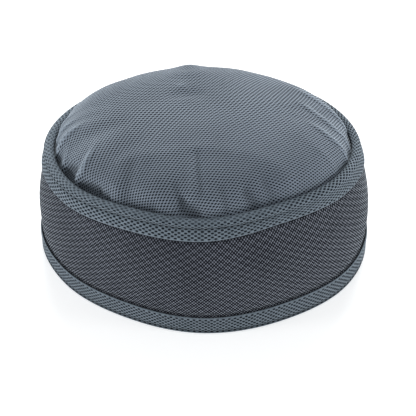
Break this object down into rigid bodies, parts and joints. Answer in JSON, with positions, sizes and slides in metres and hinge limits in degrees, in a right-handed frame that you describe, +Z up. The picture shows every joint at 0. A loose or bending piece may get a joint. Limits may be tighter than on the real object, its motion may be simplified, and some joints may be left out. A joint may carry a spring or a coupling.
{
  "type": "kufi cap",
  "caption": "Brimless knitted mesh kufi with a puffed crown gathered inside a tall band, and bias strips binding the rim and the hem.",
  "frame": {"origin": "middle of the cap's footprint, on the surface that the hem stands on", "axes": "+Z up through the crown, +X to the wearer's side along the cap's longer width, -Y to the front that the picture shows"},
  "size_m": [0.1996, 0.1806, 0.0939],
  "materials": {
    "crown_mesh": "fine bird's-eye mesh, blue-grey, matt",
    "band_mesh": "fine eyelet mesh, charcoal, matt",
    "binding_mesh": "coarse open mesh, blue-grey, matt"
  },
  "bodies": {
    "root": {"crown": "crown_mesh", "band": "band_mesh", "upper_binding": "binding_mesh", "lower_binding": "binding_mesh"}
  },
  "joints": []
}
